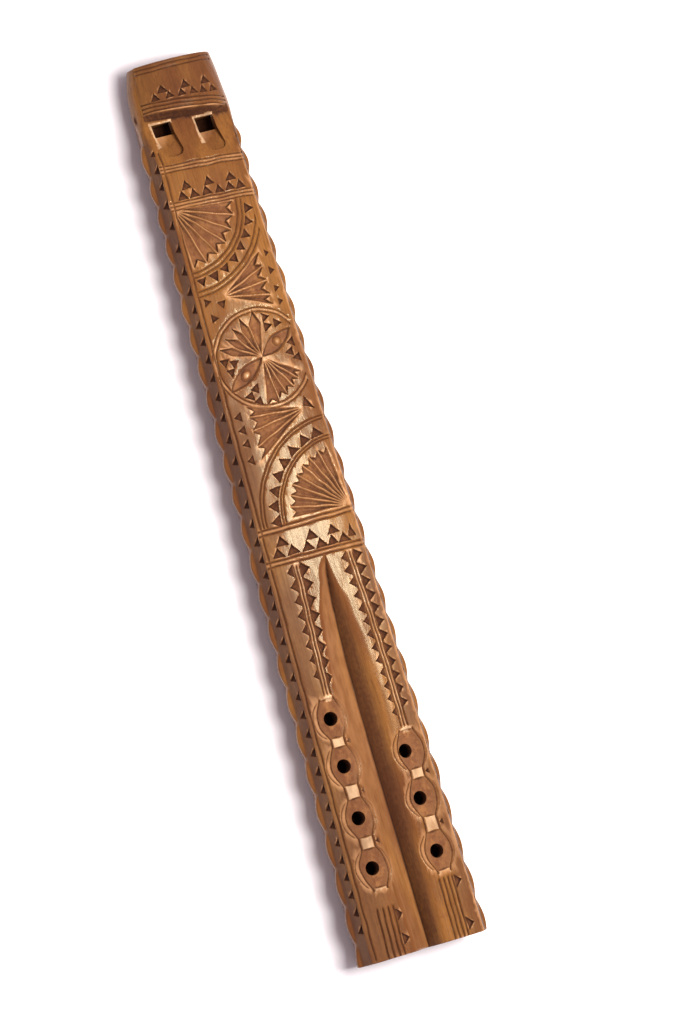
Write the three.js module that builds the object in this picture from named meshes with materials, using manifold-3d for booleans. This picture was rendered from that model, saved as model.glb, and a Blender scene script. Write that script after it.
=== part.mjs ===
// A double duct flute: two pipes bored side by side through one flat block of
// wood, each blown through its own windway, over its own window.
// The pipes part company below a fork and run on to a shared, square foot.
//
// Millimetres. The flute lies on its flat back: +Z is the carved face, +Y runs
// along it towards the blowing end and +X is to the right, looking down on it.
// The origin is under the middle of its length, on the back.
//
// Places along the flute are given as stations: the distance from the blowing
// end, so station 0 is at y = LENGTH / 2 and the foot is at y = -LENGTH / 2.

import * as THREE from 'three';
import { ConvexGeometry } from 'three/addons/geometries/ConvexGeometry.js';
import { mergeVertices } from 'three/addons/utils/BufferGeometryUtils.js';
import Module from 'manifold-3d';

// ---- driving dimensions ----------------------------------------------------

const LENGTH = 350;

// The flat carved face, which widens from the windows to the foot.
const FACE_START = 39;
const FACE_HALF_START = 16.7;
const FACE_HALF_FOOT = 23.3;
const FACE_EDGE_Z = 20.6;
const FACE_CROWN = 1.0;

// The side wall falls outwards from the face to a scalloped ridge, and the
// block narrows again below the ridge.
const WALL_OUT = 1.9;
const WALL_DROP = 5.2;
const RIDGE_LEAST = 0.3;
const RIDGE_SCALLOP = 1.45;
const RIDGE_BAND = 1.6;

// Scallop k has its peak at FIRST + PITCH k + GROWTH k^2.
const SCALLOP_FIRST = 32.7;
const SCALLOP_PITCH = 11.1;
const SCALLOP_GROWTH = 0.0793;
const SCALLOP_COUNT = 25;

// The head, round on top, which narrows towards the lips.
const HEAD_END = 20.6;
const HEAD_HALF_START = 17.4;
const HEAD_HALF_END = 19.3;
const HEAD_WIDEST_Z = 11;
const HEAD_CREST_START = 20.4;
const HEAD_CREST_END = 22.4;
const END_ROUND = 0.7;

// The sloping facet that the windows are cut in.
const FACET_LOW_Z = 17.4;
const FACET_END = 38.4;

// The two bores: centre across the flute at the windows and at the foot.
const BORE_RADIUS = 5.6;
const BORE_Z = 10.5;
const BORE_WINDOW_STATION = 26;
const BORE_SEGMENTS = 28;
const LEFT_BORE = { atWindow: -10.1, atFoot: -13.2 };
const RIGHT_BORE = { atWindow: 6.8, atFoot: 14.6 };

// Windows, and the ramp that rises from each window's sounding edge.
const WINDOW_WIDTH = 7.6;
const LEFT_WINDOW = { start: 23.0, end: 28.0, rampEnd: 36.8 };
const RIGHT_WINDOW = { start: 24.1, end: 30.0, rampEnd: 38.2 };
const EDGE_THICKNESS = 0.4;

// Blocks that plug the blowing ends and leave a flat windway over them.
const BLOCK_GAP = 0.3;
const WINDWAY_HEIGHT = 1.4;

// The channel that forks the flute into two pipes.
const FORK_STATION = 197;
const FORK_FULL_STATION = 222;
const FORK_DEEP_STATION = 230;
const CHANNEL_CENTRE_X = 1.6;
const CHANNEL_HALF = 8.4;
const CHANNEL_FLOOR_HALF = 0.8;
const CHANNEL_FLOOR_Z = 16;

// Finger holes, each in the middle of a dished oval.
const HOLE_RADIUS = 2.55;
const LEFT_HOLES = [257.2, 275.7, 295.9, 315.4];
const RIGHT_HOLES = [276.5, 295.1, 315.9];
const DISH_HALF_WIDTH = 6.0;
const DISH_HALF_LENGTH = 9.2;
const DISH_DEPTH = 1.1;

// Pairs of grooves across the face: above and below the first row of chips,
// and above and below the second.
const BAND_STATIONS = [41.2, 56.0, 182.8, 195.8];
const BAND_SPACING = 1.9;
const GROOVE_HALF_WIDTH = 0.6;
const GROOVE_DEPTH = 0.6;

const wasm = await Module();
wasm.setup();

// ---- solids ----------------------------------------------------------------

// A manifold solid from a closed three.js geometry, placed by a matrix.
function solid(geometry, matrix = new THREE.Matrix4()) {
  const bare = geometry.clone();
  bare.deleteAttribute('normal');
  bare.deleteAttribute('uv');
  bare.applyMatrix4(matrix);
  const merged = mergeVertices(bare, 1e-4);
  return new wasm.Manifold(new wasm.Mesh({
    numProp: 3,
    vertProperties: new Float32Array(merged.attributes.position.array),
    triVerts: new Uint32Array(merged.index.array),
  }));
}

// The three.js geometry of a manifold solid.
function geometryOf(shape) {
  const mesh = shape.getMesh();
  const geometry = new THREE.BufferGeometry();
  geometry.setAttribute('position', new THREE.BufferAttribute(mesh.vertProperties, 3));
  geometry.setIndex(new THREE.BufferAttribute(mesh.triVerts, 1));
  geometry.computeVertexNormals();
  return geometry;
}

const move = (x, y, z) => new THREE.Matrix4().makeTranslation(x, y, z);

const yAt = (station) => LENGTH / 2 - station;

const mix = THREE.MathUtils.lerp;

// ---- the block of wood -----------------------------------------------------

const scallopStation = (k) => SCALLOP_FIRST + SCALLOP_PITCH * k + SCALLOP_GROWTH * k * k;

// How far along the row of scallops a station is, counted in scallops.
function scallopCount(station) {
  const reach = station - SCALLOP_FIRST;
  const root = Math.sqrt(SCALLOP_PITCH ** 2 + 4 * SCALLOP_GROWTH * reach);
  return (root - SCALLOP_PITCH) / (2 * SCALLOP_GROWTH);
}

// How far the ridge stands out from the foot of the wall: rounded peaks that
// meet in sharp valleys.
function ridgeOut(station) {
  const k = scallopCount(station);
  if (k < -0.5) {
    return 0;
  }
  const fromPeak = Math.abs(k - Math.round(k)) * 2;
  return RIDGE_LEAST + RIDGE_SCALLOP * (1 - fromPeak ** 1.5);
}

const faceHalf = (station) => THREE.MathUtils.mapLinear(
  station, FACE_START, LENGTH, FACE_HALF_START, FACE_HALF_FOOT);

// Half of the section with the flat face, from the middle of the face round to
// the middle of the back.
function bodyHalfSection(station) {
  const face = faceHalf(station);
  const wall = face + WALL_OUT;
  const ridge = wall + ridgeOut(station);
  const ridgeZ = FACE_EDGE_Z - WALL_DROP;
  const crownAt = (part) => [face * part, FACE_EDGE_Z + FACE_CROWN * (1 - part * part)];
  return [
    crownAt(0),
    crownAt(0.4),
    crownAt(0.75),
    crownAt(1),
    [wall, ridgeZ + 0.3],
    [ridge, ridgeZ - 0.5],
    [ridge, ridgeZ - 0.5 - RIDGE_BAND],
    [wall - 1.2, 7],
    [face - 2.0, 1.4],
    [face - 3.6, 0],
    [0, 0],
  ];
}

// The same number of points round half of the head, which is half an ellipse
// over a straight, bevelled side.
function headHalfSection(station) {
  const along = station / HEAD_END;
  const half = mix(HEAD_HALF_START, HEAD_HALF_END, Math.sin(along * Math.PI / 2));
  const crest = mix(HEAD_CREST_START, HEAD_CREST_END, along);
  const points = [];
  for (const degrees of [0, 22, 43, 61, 76, 90]) {
    const angle = THREE.MathUtils.degToRad(degrees);
    const x = half * Math.sin(angle);
    points.push([x, HEAD_WIDEST_Z + (crest - HEAD_WIDEST_Z) * Math.cos(angle)]);
  }
  points.push([half - 0.5, HEAD_WIDEST_Z - 2]);
  points.push([half - 2.2, 4.6]);
  points.push([half - 3.6, 1.4]);
  points.push([half - 5.2, 0]);
  points.push([0, 0]);
  return points;
}

// Half a section at any station: the head's shape fades into the body's below
// the step, and both ends are drawn in a little where their arris is worn.
function halfSection(station) {
  const headPart = 1 - THREE.MathUtils.smoothstep(station, HEAD_END, FACE_START);
  const fromEnd = Math.min(station, LENGTH - station);
  const draw = Math.max(0, END_ROUND - fromEnd) / FACE_HALF_FOOT;
  const head = headHalfSection(Math.min(station, HEAD_END));
  return bodyHalfSection(station).map(([x, z], i) => {
    const [headX, headZ] = head[i];
    const px = mix(x, headX, headPart) * (1 - draw);
    const pz = mix(z, headZ, headPart);
    return [px, pz * (1 - draw) + BORE_Z * draw * Math.min(1, pz)];
  });
}

// The stations of the sections: even ones down the head, then four for each
// scallop, so that every peak and valley has its own.
function sectionStations() {
  const stations = [0, END_ROUND, 5, 10, 15, HEAD_END, 23.4];
  for (let quarter = -2; quarter < 4 * SCALLOP_COUNT; quarter += 1) {
    const station = scallopStation(quarter / 4);
    if (station < LENGTH - END_ROUND - 1) {
      stations.push(station);
    }
  }
  stations.push(LENGTH - END_ROUND, LENGTH);
  return stations;
}

// The uncut block: a capped cylinder along Y whose rings are drawn out to the
// sections.
function blank() {
  const stations = sectionStations();
  const rings = stations.map((station) => {
    const right = halfSection(station);
    const left = right.slice(1, -1).reverse().map(([x, z]) => [-x, z]);
    return [...right, ...left];
  });
  const around = rings[0].length;
  const along = stations.length - 1;
  const geometry = new THREE.CylinderGeometry(1, 1, 1, around, along);
  const position = geometry.attributes.position;
  for (let i = 0; i < position.count; i += 1) {
    const x = position.getX(i);
    const y = position.getY(i);
    const z = position.getZ(i);
    const ring = Math.round((0.5 - y) * along);
    if (Math.hypot(x, z) < 0.5) {
      position.setXYZ(i, 0, yAt(stations[ring]), BORE_Z);
    } else {
      const turn = Math.round(Math.atan2(x, z) / (2 * Math.PI) * around);
      const [px, pz] = rings[ring][(turn + around) % around];
      position.setXYZ(i, px, yAt(stations[ring]), pz);
    }
  }
  return solid(geometry);
}

// ---- what is cut out of it -------------------------------------------------

const boreX = (bore, station) => THREE.MathUtils.mapLinear(
  station, BORE_WINDOW_STATION, LENGTH, bore.atWindow, bore.atFoot);

// The angle that a bore leans away from the Y axis.
const boreLean = (bore) => Math.atan2(
  bore.atFoot - bore.atWindow, LENGTH - BORE_WINDOW_STATION);

// A cylinder along a bore's axis, between two stations.
function alongBore(bore, radius, start, end) {
  const lean = boreLean(bore);
  const middle = (start + end) / 2;
  const length = (end - start) / Math.cos(lean);
  const matrix = move(boreX(bore, middle), yAt(middle), BORE_Z);
  matrix.multiply(new THREE.Matrix4().makeRotationZ(lean));
  return solid(new THREE.CylinderGeometry(radius, radius, length, BORE_SEGMENTS), matrix);
}

// A box between two stations, with its floor sloping from one height to the
// other, and open above.
function slopingCut(x, width, start, startZ, end, endZ) {
  const outline = new THREE.Shape();
  outline.moveTo(yAt(start), startZ);
  outline.lineTo(yAt(start), 40);
  outline.lineTo(yAt(end), 40);
  outline.lineTo(yAt(end), endZ);
  outline.closePath();
  const cut = new THREE.ExtrudeGeometry(outline, { depth: width, bevelEnabled: false });
  // The outline is drawn in X and Y, and stands up in Y and Z.
  const stand = new THREE.Matrix4().set(
    0, 0, 1, x - width / 2,
    1, 0, 0, 0,
    0, 1, 0, 0,
    0, 0, 0, 1);
  return solid(cut, stand);
}

// The facet falls away from the face to the foot of the head's step.
function facetCut() {
  const topZ = FACE_EDGE_Z + FACE_CROWN;
  return slopingCut(0, 60, HEAD_END, FACET_LOW_Z, FACET_END, topZ);
}

function facetZ(station) {
  const topZ = FACE_EDGE_Z + FACE_CROWN;
  return THREE.MathUtils.mapLinear(station, HEAD_END, FACET_END, FACET_LOW_Z, topZ);
}

// A window down into the bore, and the ramp from its sounding edge up to the
// facet.
function windowCut(bore, window) {
  const x = boreX(bore, window.end);
  const edgeZ = BORE_Z + BORE_RADIUS + EDGE_THICKNESS;
  const hole = slopingCut(x, WINDOW_WIDTH, window.start, BORE_Z, window.end, BORE_Z);
  const ramp = slopingCut(
    x, WINDOW_WIDTH, window.end - 0.5, edgeZ, window.rampEnd, facetZ(window.rampEnd));
  return hole.add(ramp);
}

// The channel between the pipes: a trough with sloping sides that starts at a
// point and reaches its full width and depth further on. Its sides are carried
// on up to a lid above the face.
function channelCut() {
  const faceZ = FACE_EDGE_Z + FACE_CROWN;
  const lidZ = faceZ + 2.4;
  const deep = faceZ - CHANNEL_FLOOR_Z;
  const rise = (lidZ - faceZ) / deep;
  const lidHalf = CHANNEL_HALF + (CHANNEL_HALF - CHANNEL_FLOOR_HALF) * rise;
  const lidStart = FORK_STATION - (FORK_DEEP_STATION - FORK_STATION) * rise;
  const lidFull = FORK_FULL_STATION - (FORK_DEEP_STATION - FORK_FULL_STATION) * rise;
  const past = LENGTH + 5;
  const points = [new THREE.Vector3(CHANNEL_CENTRE_X, yAt(lidStart), lidZ)];
  for (const side of [-1, 1]) {
    const lidX = CHANNEL_CENTRE_X + side * lidHalf;
    const floorX = CHANNEL_CENTRE_X + side * CHANNEL_FLOOR_HALF;
    points.push(new THREE.Vector3(lidX, yAt(lidFull), lidZ));
    points.push(new THREE.Vector3(lidX, yAt(past), lidZ));
    points.push(new THREE.Vector3(floorX, yAt(FORK_DEEP_STATION), CHANNEL_FLOOR_Z));
    points.push(new THREE.Vector3(floorX, yAt(past), CHANNEL_FLOOR_Z));
  }
  return solid(new ConvexGeometry(points));
}

// A finger hole down into the bore, with the shallow oval dish round it.
function fingerHoleCut(bore, station) {
  const x = boreX(bore, station);
  const part = Math.min(1, Math.abs(x) / faceHalf(station));
  const faceZ = FACE_EDGE_Z + FACE_CROWN * (1 - part * part);
  const tall = 20;
  const drill = new THREE.CylinderGeometry(HOLE_RADIUS, HOLE_RADIUS, tall, 20);
  drill.rotateX(Math.PI / 2);
  const hole = solid(drill, move(x, yAt(station), BORE_Z + tall / 2));
  const height = 4;
  const spread = 1 / Math.sqrt(1 - ((height - DISH_DEPTH) / height) ** 2);
  const ball = new THREE.SphereGeometry(1, 24, 16);
  ball.scale(DISH_HALF_WIDTH * spread, DISH_HALF_LENGTH * spread, height);
  const dish = solid(ball, move(x, yAt(station), faceZ + height - DISH_DEPTH));
  return hole.add(dish);
}

// One V groove straight across the face, following its crown.
function grooveCut(station) {
  const outline = new THREE.Shape();
  outline.moveTo(0, -GROOVE_DEPTH);
  outline.lineTo(GROOVE_HALF_WIDTH * 2, GROOVE_DEPTH);
  outline.lineTo(-GROOVE_HALF_WIDTH * 2, GROOVE_DEPTH);
  outline.closePath();
  const half = faceHalf(station);
  const crown = new THREE.QuadraticBezierCurve3(
    new THREE.Vector3(-half, yAt(station), FACE_EDGE_Z),
    new THREE.Vector3(0, yAt(station), FACE_EDGE_Z + 2 * FACE_CROWN),
    new THREE.Vector3(half, yAt(station), FACE_EDGE_Z));
  return solid(new THREE.ExtrudeGeometry(outline, { steps: 6, extrudePath: crown }));
}

// ---- the pieces ------------------------------------------------------------

function body() {
  let shape = blank().subtract(facetCut());
  for (const [bore, window] of [[LEFT_BORE, LEFT_WINDOW], [RIGHT_BORE, RIGHT_WINDOW]]) {
    shape = shape.subtract(alongBore(bore, BORE_RADIUS, -5, LENGTH + 5));
    shape = shape.subtract(windowCut(bore, window));
  }
  for (const [bore, holes] of [[LEFT_BORE, LEFT_HOLES], [RIGHT_BORE, RIGHT_HOLES]]) {
    for (const station of holes) {
      shape = shape.subtract(fingerHoleCut(bore, station));
    }
  }
  for (const station of BAND_STATIONS) {
    shape = shape.subtract(grooveCut(station - BAND_SPACING / 2));
    shape = shape.subtract(grooveCut(station + BAND_SPACING / 2));
  }
  return shape.subtract(channelCut());
}

// A round plug with a flat along its top, from the lips to the window.
function block(bore, window) {
  const radius = BORE_RADIUS - BLOCK_GAP;
  const plug = alongBore(bore, radius, END_ROUND, window.start);
  const flatZ = BORE_Z + BORE_RADIUS - WINDWAY_HEIGHT;
  const flat = slopingCut(boreX(bore, 0), 40, -5, flatZ, window.end, flatZ);
  return plug.subtract(flat);
}

function mesh(name, shape, colour, roughness) {
  const material = new THREE.MeshStandardMaterial({ color: colour, roughness, metalness: 0 });
  const piece = new THREE.Mesh(geometryOf(shape), material);
  piece.name = name;
  return piece;
}

const flute = new THREE.Group();
flute.name = 'double_flute';
flute.add(mesh('body', body(), 0x8a5a2b, 0.5));
flute.add(mesh('left_block', block(LEFT_BORE, LEFT_WINDOW), 0x7a4e26, 0.65));
flute.add(mesh('right_block', block(RIGHT_BORE, RIGHT_WINDOW), 0x7a4e26, 0.65));

export default flute;
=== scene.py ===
"""The looks of a double duct flute, chip-carved from one block of wood.

The block is lofted as a fine grid of sections. Its face is then carved as a relief: every
groove, chip, flute and leaf says how deep it goes at each point of the grid. Bores, windows and
finger holes are cut out afterwards, and the mesh is thinned where it is flat.

Design sizes are millimetres. A place on the flute is (x, s): x is across, to the right, and the
station s is the distance from the blowing end. Blender's own units are metres.
"""

import math

import bmesh
import bpy
import numpy as np
from mathutils import Matrix, Vector, kdtree


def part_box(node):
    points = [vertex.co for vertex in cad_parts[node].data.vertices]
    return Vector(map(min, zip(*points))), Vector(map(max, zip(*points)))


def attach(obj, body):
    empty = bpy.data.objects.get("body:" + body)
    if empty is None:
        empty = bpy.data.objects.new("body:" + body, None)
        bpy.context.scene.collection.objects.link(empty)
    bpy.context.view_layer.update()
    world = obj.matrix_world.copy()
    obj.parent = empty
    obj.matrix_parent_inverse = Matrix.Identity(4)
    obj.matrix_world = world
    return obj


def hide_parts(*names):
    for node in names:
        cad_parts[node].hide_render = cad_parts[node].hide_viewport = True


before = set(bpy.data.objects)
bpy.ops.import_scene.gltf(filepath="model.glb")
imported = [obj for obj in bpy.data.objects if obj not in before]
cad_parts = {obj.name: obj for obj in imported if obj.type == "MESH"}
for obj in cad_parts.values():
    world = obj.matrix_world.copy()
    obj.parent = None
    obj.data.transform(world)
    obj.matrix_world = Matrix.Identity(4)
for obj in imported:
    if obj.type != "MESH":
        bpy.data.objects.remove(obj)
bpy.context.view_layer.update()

MM = 0.001
BODY_LOW, BODY_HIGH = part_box("body")
LENGTH = (BODY_HIGH.y - BODY_LOW.y) / MM
END_Y = BODY_HIGH.y / MM

# ---- the block

# The face is the carved side. A ridge of scallops runs along the wall at each side of it. The
# facet is the slope that the windows are cut in, and it only cuts what lies above UPPER_Z.
FACE_START = 39.0
SIDES_START = 31.0
FACE_HALF_START = 16.7
FACE_HALF_FOOT = 23.3
FACE_EDGE_Z = 20.6
FACE_CROWN = 1.0
FACE_TOP_Z = FACE_EDGE_Z + FACE_CROWN

WALL_OUT = 2.2
WALL_DROP = 5.2
RIDGE_LEAST = 0.3
RIDGE_SCALLOP = 1.45
RIDGE_BAND = 1.6

# The scallops grow towards the foot, and the left wall's are further down by the shift.
SCALLOP_FIRST = 32.7
SCALLOP_PITCH = 11.1
SCALLOP_GROWTH = 0.0793
SCALLOP_LEFT_SHIFT = 4.0

HEAD_END = 20.6
HEAD_HALF_START = 17.4
HEAD_HALF_END = 19.3
HEAD_WIDEST_Z = 11.0
HEAD_CREST_START = 20.4
HEAD_CREST_END = 22.4
HEAD_FACE_ANGLE = 61.0
HEAD_RIGHT = 0.9
HEAD_CORNER = 1.2
END_ROUND = 0.7

FACET_LOW_Z = 17.4
FACET_END = 38.4
FACET_CUT = 0.2
FACET_CROWN = 0.0055
UPPER_Z = 12.0
STEP_FOOT = 22.4
STEP_RUN = 2.5
STEP_SLANT = 0.1

BORE_RADIUS = 5.6
BORE_Z = 10.5
BORE_START = 26.0
EDGE_THICKNESS = 0.4
WINDWAY_HEIGHT = 1.4
RAMP_END_DEPTH = 1.5
RAMP_SKEW = 1.1

WINDOW_WIDTH = 7.6
HOLE_RADIUS = 2.55
LEFT_HOLES = (257.2, 275.7, 295.9, 315.4)
RIGHT_HOLES = (276.5, 295.1, 315.9)

# Each pipe: its bore's x at BORE_START and at the foot, then where its window starts, where that
# ends and its ramp starts, and where the ramp ends, and then its finger holes.
PIPES = (
    ((-10.1, -13.2), (23.0, 28.0, 36.8), LEFT_HOLES),
    ((6.8, 14.6), (24.1, 30.0, 38.2), RIGHT_HOLES),
)

FORK_START = 197.0
CHANNEL_DEPTH = 6.0
CHANNEL_LEFT_CURVE = 1.35
CHANNEL_RIGHT_CURVE = 2.7

# The carver's middle line runs this far to the left of the block's own.
CARVED_LEFT = 0.7

# A chip: its depth, how much of that it has at its base, how steep its walls are, and how far its
# corners stray. Then a window's chamfers, and a fan's ribs and the knife's marks between them.
CHIP_DEPTH = 1.2
CHIP_HEEL = 0.35
CHIP_WALL = 3.2
CHIP_WOBBLE = 0.1
CHAMFER = 0.9
CHAMFER_DEPTH = 0.45
FAN_RIB = 0.13
GOUGE_STROKES = 3
GOUGE_MARK = 0.045

# How dark the wood is made in each kind of place, from 0 up. On the step, the valley's right side
# and the side walls it is painted shade, in the chips partly painted shade, on the margins it is
# only darker, and elsewhere it is stained.
CHIP_STAIN_AND_SHADE = 1.1
FLUTE_STAIN = 0.12
DISH_STAIN = 0.12
STEP_PAINTED_SHADE = 1.2
VALLEY_PAINTED_SHADE = 0.7
WALL_PAINTED_SHADE = 0.50
MARGIN_DARKENING = 0.36
HEAD_STAIN = 0.22
BORE_STAIN = 1.3

# How pale it is made, from 0 to 1: worn wood that is partly painted highlight, and on the
# valley's left side painted light.
PALEST_WEAR_AND_HIGHLIGHT = 0.9
FAN_WEAR_AND_HIGHLIGHT = 0.85
RING_WEAR_AND_HIGHLIGHT = 0.55
VALLEY_PAINTED_LIGHT = 0.32

# ---- the grid

STEP_S = 0.24
FACE_COLUMNS = 190
WALL_COLUMNS = 24
SEED = 11
TRIANGLES = 188000
SHARP_DEGREES = 34
PLUG_SHARP_DEGREES = 40

rng = np.random.default_rng(SEED)


def smooth(value, low, high):
    """0 below low, 1 above high, and an S-curve between."""
    t = np.clip((value - low) / (high - low), 0.0, 1.0)
    return t * t * (3.0 - 2.0 * t)


def mix(a, b, t):
    return a + (b - a) * t


def path(s, *places):
    """A smooth line through (station, value) places, held level past its ends."""
    stations = np.array([p[0] for p in places], float)
    values = np.array([p[1] for p in places], float)
    slopes = np.gradient(values, stations)
    slopes[0] = slopes[-1] = 0.0
    s = np.clip(np.asarray(s, float), stations[0], stations[-1])
    i = np.clip(np.searchsorted(stations, s) - 1, 0, len(stations) - 2)
    run = stations[i + 1] - stations[i]
    t = (s - stations[i]) / run
    return (
        values[i] * (2 * t**3 - 3 * t**2 + 1)
        + slopes[i] * run * (t**3 - 2 * t**2 + t)
        + values[i + 1] * (3 * t**2 - 2 * t**3)
        + slopes[i + 1] * run * (t**3 - t**2)
    )


def ripple(a, b, length_a, length_b, height, waves=7):
    """A gentle random swell over two coordinates, with the given typical wavelengths."""
    total = np.zeros(np.broadcast(a, b).shape)
    for _ in range(waves):
        ka = rng.uniform(0.5, 1.5) * 2 * math.pi / length_a
        kb = rng.uniform(0.5, 1.5) * 2 * math.pi / length_b
        turn = rng.uniform(0, 2 * math.pi)
        sign = rng.choice((-1.0, 1.0))
        total += np.sin(a * ka + sign * b * kb + turn)
    return total * height / math.sqrt(waves)


# ---- the uncarved block


def face_half(s):
    return FACE_HALF_START + (FACE_HALF_FOOT - FACE_HALF_START) * (s - FACE_START) / (
        LENGTH - FACE_START
    )


def scallop(s, shift=0.0):
    """How far the ridge stands out: rounded peaks that meet in sharp valleys."""
    reach = np.maximum(s - SCALLOP_FIRST - shift, -30.0)
    root = np.sqrt(SCALLOP_PITCH**2 + 4 * SCALLOP_GROWTH * reach)
    k = (root - SCALLOP_PITCH) / (2 * SCALLOP_GROWTH)
    from_peak = np.abs(k - np.round(k)) * 2
    out = RIDGE_LEAST + RIDGE_SCALLOP * (1 - from_peak**1.7)
    return np.where(k < -0.5, 0.0, out)


def along_corners(corners, i, u, s):
    """A point between one corner of a section and the next."""
    (xa, za), (xb, zb) = corners[i], corners[i + 1]
    return mix(xa, xb, u), mix(za, zb, u) + 0 * s


def body_side(zone, u, s, shift):
    """A point on the body's right side: zones run from the face's edge down to the back."""
    face = face_half(s)
    wall = face + WALL_OUT
    ridge = wall + scallop(s, shift)
    top = FACE_EDGE_Z - WALL_DROP
    corners = (
        (face, FACE_EDGE_Z),
        (wall, top + 0.3),
        (ridge, top - 0.5),
        (ridge, top - 0.5 - RIDGE_BAND),
        (wall - 1.2, 7.0),
        (face - 2.0, 1.4),
        (face - 3.6, 0.0),
    )
    return along_corners(corners, zone, u, s)


def head_size(s):
    along = np.minimum(s, HEAD_END) / HEAD_END
    half = mix(HEAD_HALF_START, HEAD_HALF_END, np.sin(along * math.pi / 2))
    return half, mix(HEAD_CREST_START, HEAD_CREST_END, along)


def head_arc(angle, s):
    half, crest = head_size(s)
    x = half * np.sin(angle)
    return x, HEAD_WIDEST_Z + (crest - HEAD_WIDEST_Z) * np.cos(angle)


def head_side(zone, u, s):
    """The point of the head that answers to body_side's."""
    half, _ = head_size(s)
    if zone < 2:
        degrees = (HEAD_FACE_ANGLE, 76.0, 90.0)
        return head_arc(math.radians(mix(degrees[zone], degrees[zone + 1], u)), s)
    corners = (
        (half, HEAD_WIDEST_Z),
        (half - 0.5, HEAD_WIDEST_Z - 2),
        (half - 2.2, 4.6),
        (half - 3.6, 1.4),
        (half - 5.2, 0.0),
    )
    return along_corners(corners, zone - 2, u, s)


SIDE_ZONES = (WALL_COLUMNS, 8, 5, 12, 12, 4)
TOP_ZONES = (("left", 0), ("right", 0))
BACK_COLUMNS = 24


def ring_plan():
    """What each column of the grid is: the face, then round by the right side and the back."""
    plan = [("face", 0, t) for t in np.linspace(-1, 1, FACE_COLUMNS)]
    right = [
        ("right", zone, (i + 1) / count)
        for zone, count in enumerate(SIDE_ZONES)
        for i in range(count)
    ]
    back = [("back", 0, t) for t in np.linspace(1, -1, BACK_COLUMNS + 2)[1:-1]]
    left = [("left", zone, u) for _, zone, u in reversed(right)]
    return plan + right + back + left


def station_rows():
    """The stations of the grid's rows, closer together where the ends are rounded."""
    ends = np.array([0.0, 0.12, 0.26, 0.44])
    middle = np.linspace(END_ROUND, LENGTH - END_ROUND, int(LENGTH / STEP_S))
    return np.concatenate([ends, middle, LENGTH - ends[::-1]])


def blank_grid(s, plan):
    """The block before any carving, as x and z for every row and column."""
    head = 1 - smooth(s, HEAD_END, FACE_START)
    head_wall = 1 - smooth(s, HEAD_END - 0.5, SIDES_START)
    face = face_half(s)
    x = np.zeros((len(s), len(plan)))
    z = np.zeros_like(x)
    for j, (part, zone, u) in enumerate(plan):
        if part == "face":
            bx, bz = face * u, FACE_EDGE_Z + FACE_CROWN * (1 - abs(u) ** 2.8) + 0 * s
            hx, hz = head_arc(math.radians(HEAD_FACE_ANGLE * u), s)
        elif part == "back":
            bx, bz = (face - 3.6) * u, 0 * s
            hx, hz = (head_size(s)[0] - 5.2) * u, 0 * s
        else:
            side = 1 if part == "right" else -1
            shift = 0.0 if part == "right" else SCALLOP_LEFT_SHIFT
            bx, bz = body_side(zone, u, s, shift)
            hx, hz = head_side(zone, u, s)
            bx, hx = side * bx, side * hx
            if part == "left":
                hx = hx + HEAD_CORNER * np.clip(1 - s / 9.0, 0, 1) ** 1.6
        below = 0.0 if part == "face" else u if (part, zone) in TOP_ZONES else 1.0
        blend = mix(head, head_wall, below)
        x[:, j] = mix(bx, hx + HEAD_RIGHT, blend)
        z[:, j] = mix(bz, hz, blend)
    return x, z


def ease_corners(x, z, first, rounds):
    """Wears the corners of the sides round, leaving the face's own columns as they are."""
    for _ in range(rounds):
        ex = (np.roll(x, 1, 1) + 2 * x + np.roll(x, -1, 1)) / 4
        ez = (np.roll(z, 1, 1) + 2 * z + np.roll(z, -1, 1)) / 4
        x[:, first:], z[:, first:] = ex[:, first:], ez[:, first:]
        x[:, 0], z[:, 0] = ex[:, 0], ez[:, 0]
        x[:, first - 1], z[:, first - 1] = ex[:, first - 1], ez[:, first - 1]
    return x, z


def facet_z(s):
    return FACET_LOW_Z + (FACE_TOP_Z - FACET_LOW_Z) * (s - HEAD_END) / (FACET_END - HEAD_END)


def soft_min(a, b, soft):
    """The lower of two surfaces, with the corner between them rounded."""
    near = np.clip(soft - np.abs(a - b), 0, None) / soft
    return np.minimum(a, b) - near * near * soft / 4


def cut_facet(x, s, z):
    """The slope under the windows, with the step that it leaves below the head."""
    step = STEP_FOOT + STEP_SLANT * x
    crown = FACET_CROWN * x * x
    floor = facet_z(s) - FACET_CUT - crown
    up = np.clip((step - s) / STEP_RUN, 0, 1)
    foot = facet_z(step) - FACET_CUT - crown
    cut = np.where(s > step, soft_min(z, floor, 0.5), foot + (z - foot) * up**1.3)
    return np.where(s > step - STEP_RUN, np.minimum(z, cut), z)


def step_shade(x, s, z):
    """Where the step's painted shade goes: 1 on the wall of the step and 0 away from it."""
    foot = STEP_FOOT + STEP_SLANT * x
    top = foot - STEP_RUN
    on_wall = smooth(s, top, top + 0.6) * (1 - smooth(s, foot, foot + 0.5))
    return on_wall * (z > UPPER_Z)


def channel_edges(s):
    """The channel's left edge, its bottom line and its right edge."""
    bottom = path(s, (197, 4.1), (204, 3.5), (214, 2.9), (228, 2.6), (350, 2.6))
    left = path(s, (197, 3.0), (199, 1.2), (208, -1.6), (218, -4.7), (228, -6.4), (350, -6.6))
    right = path(s, (197, 4.4), (199, 4.7), (208, 6.5), (216, 9.5), (223, 10.8), (350, 10.9))
    return left, bottom, right


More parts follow.
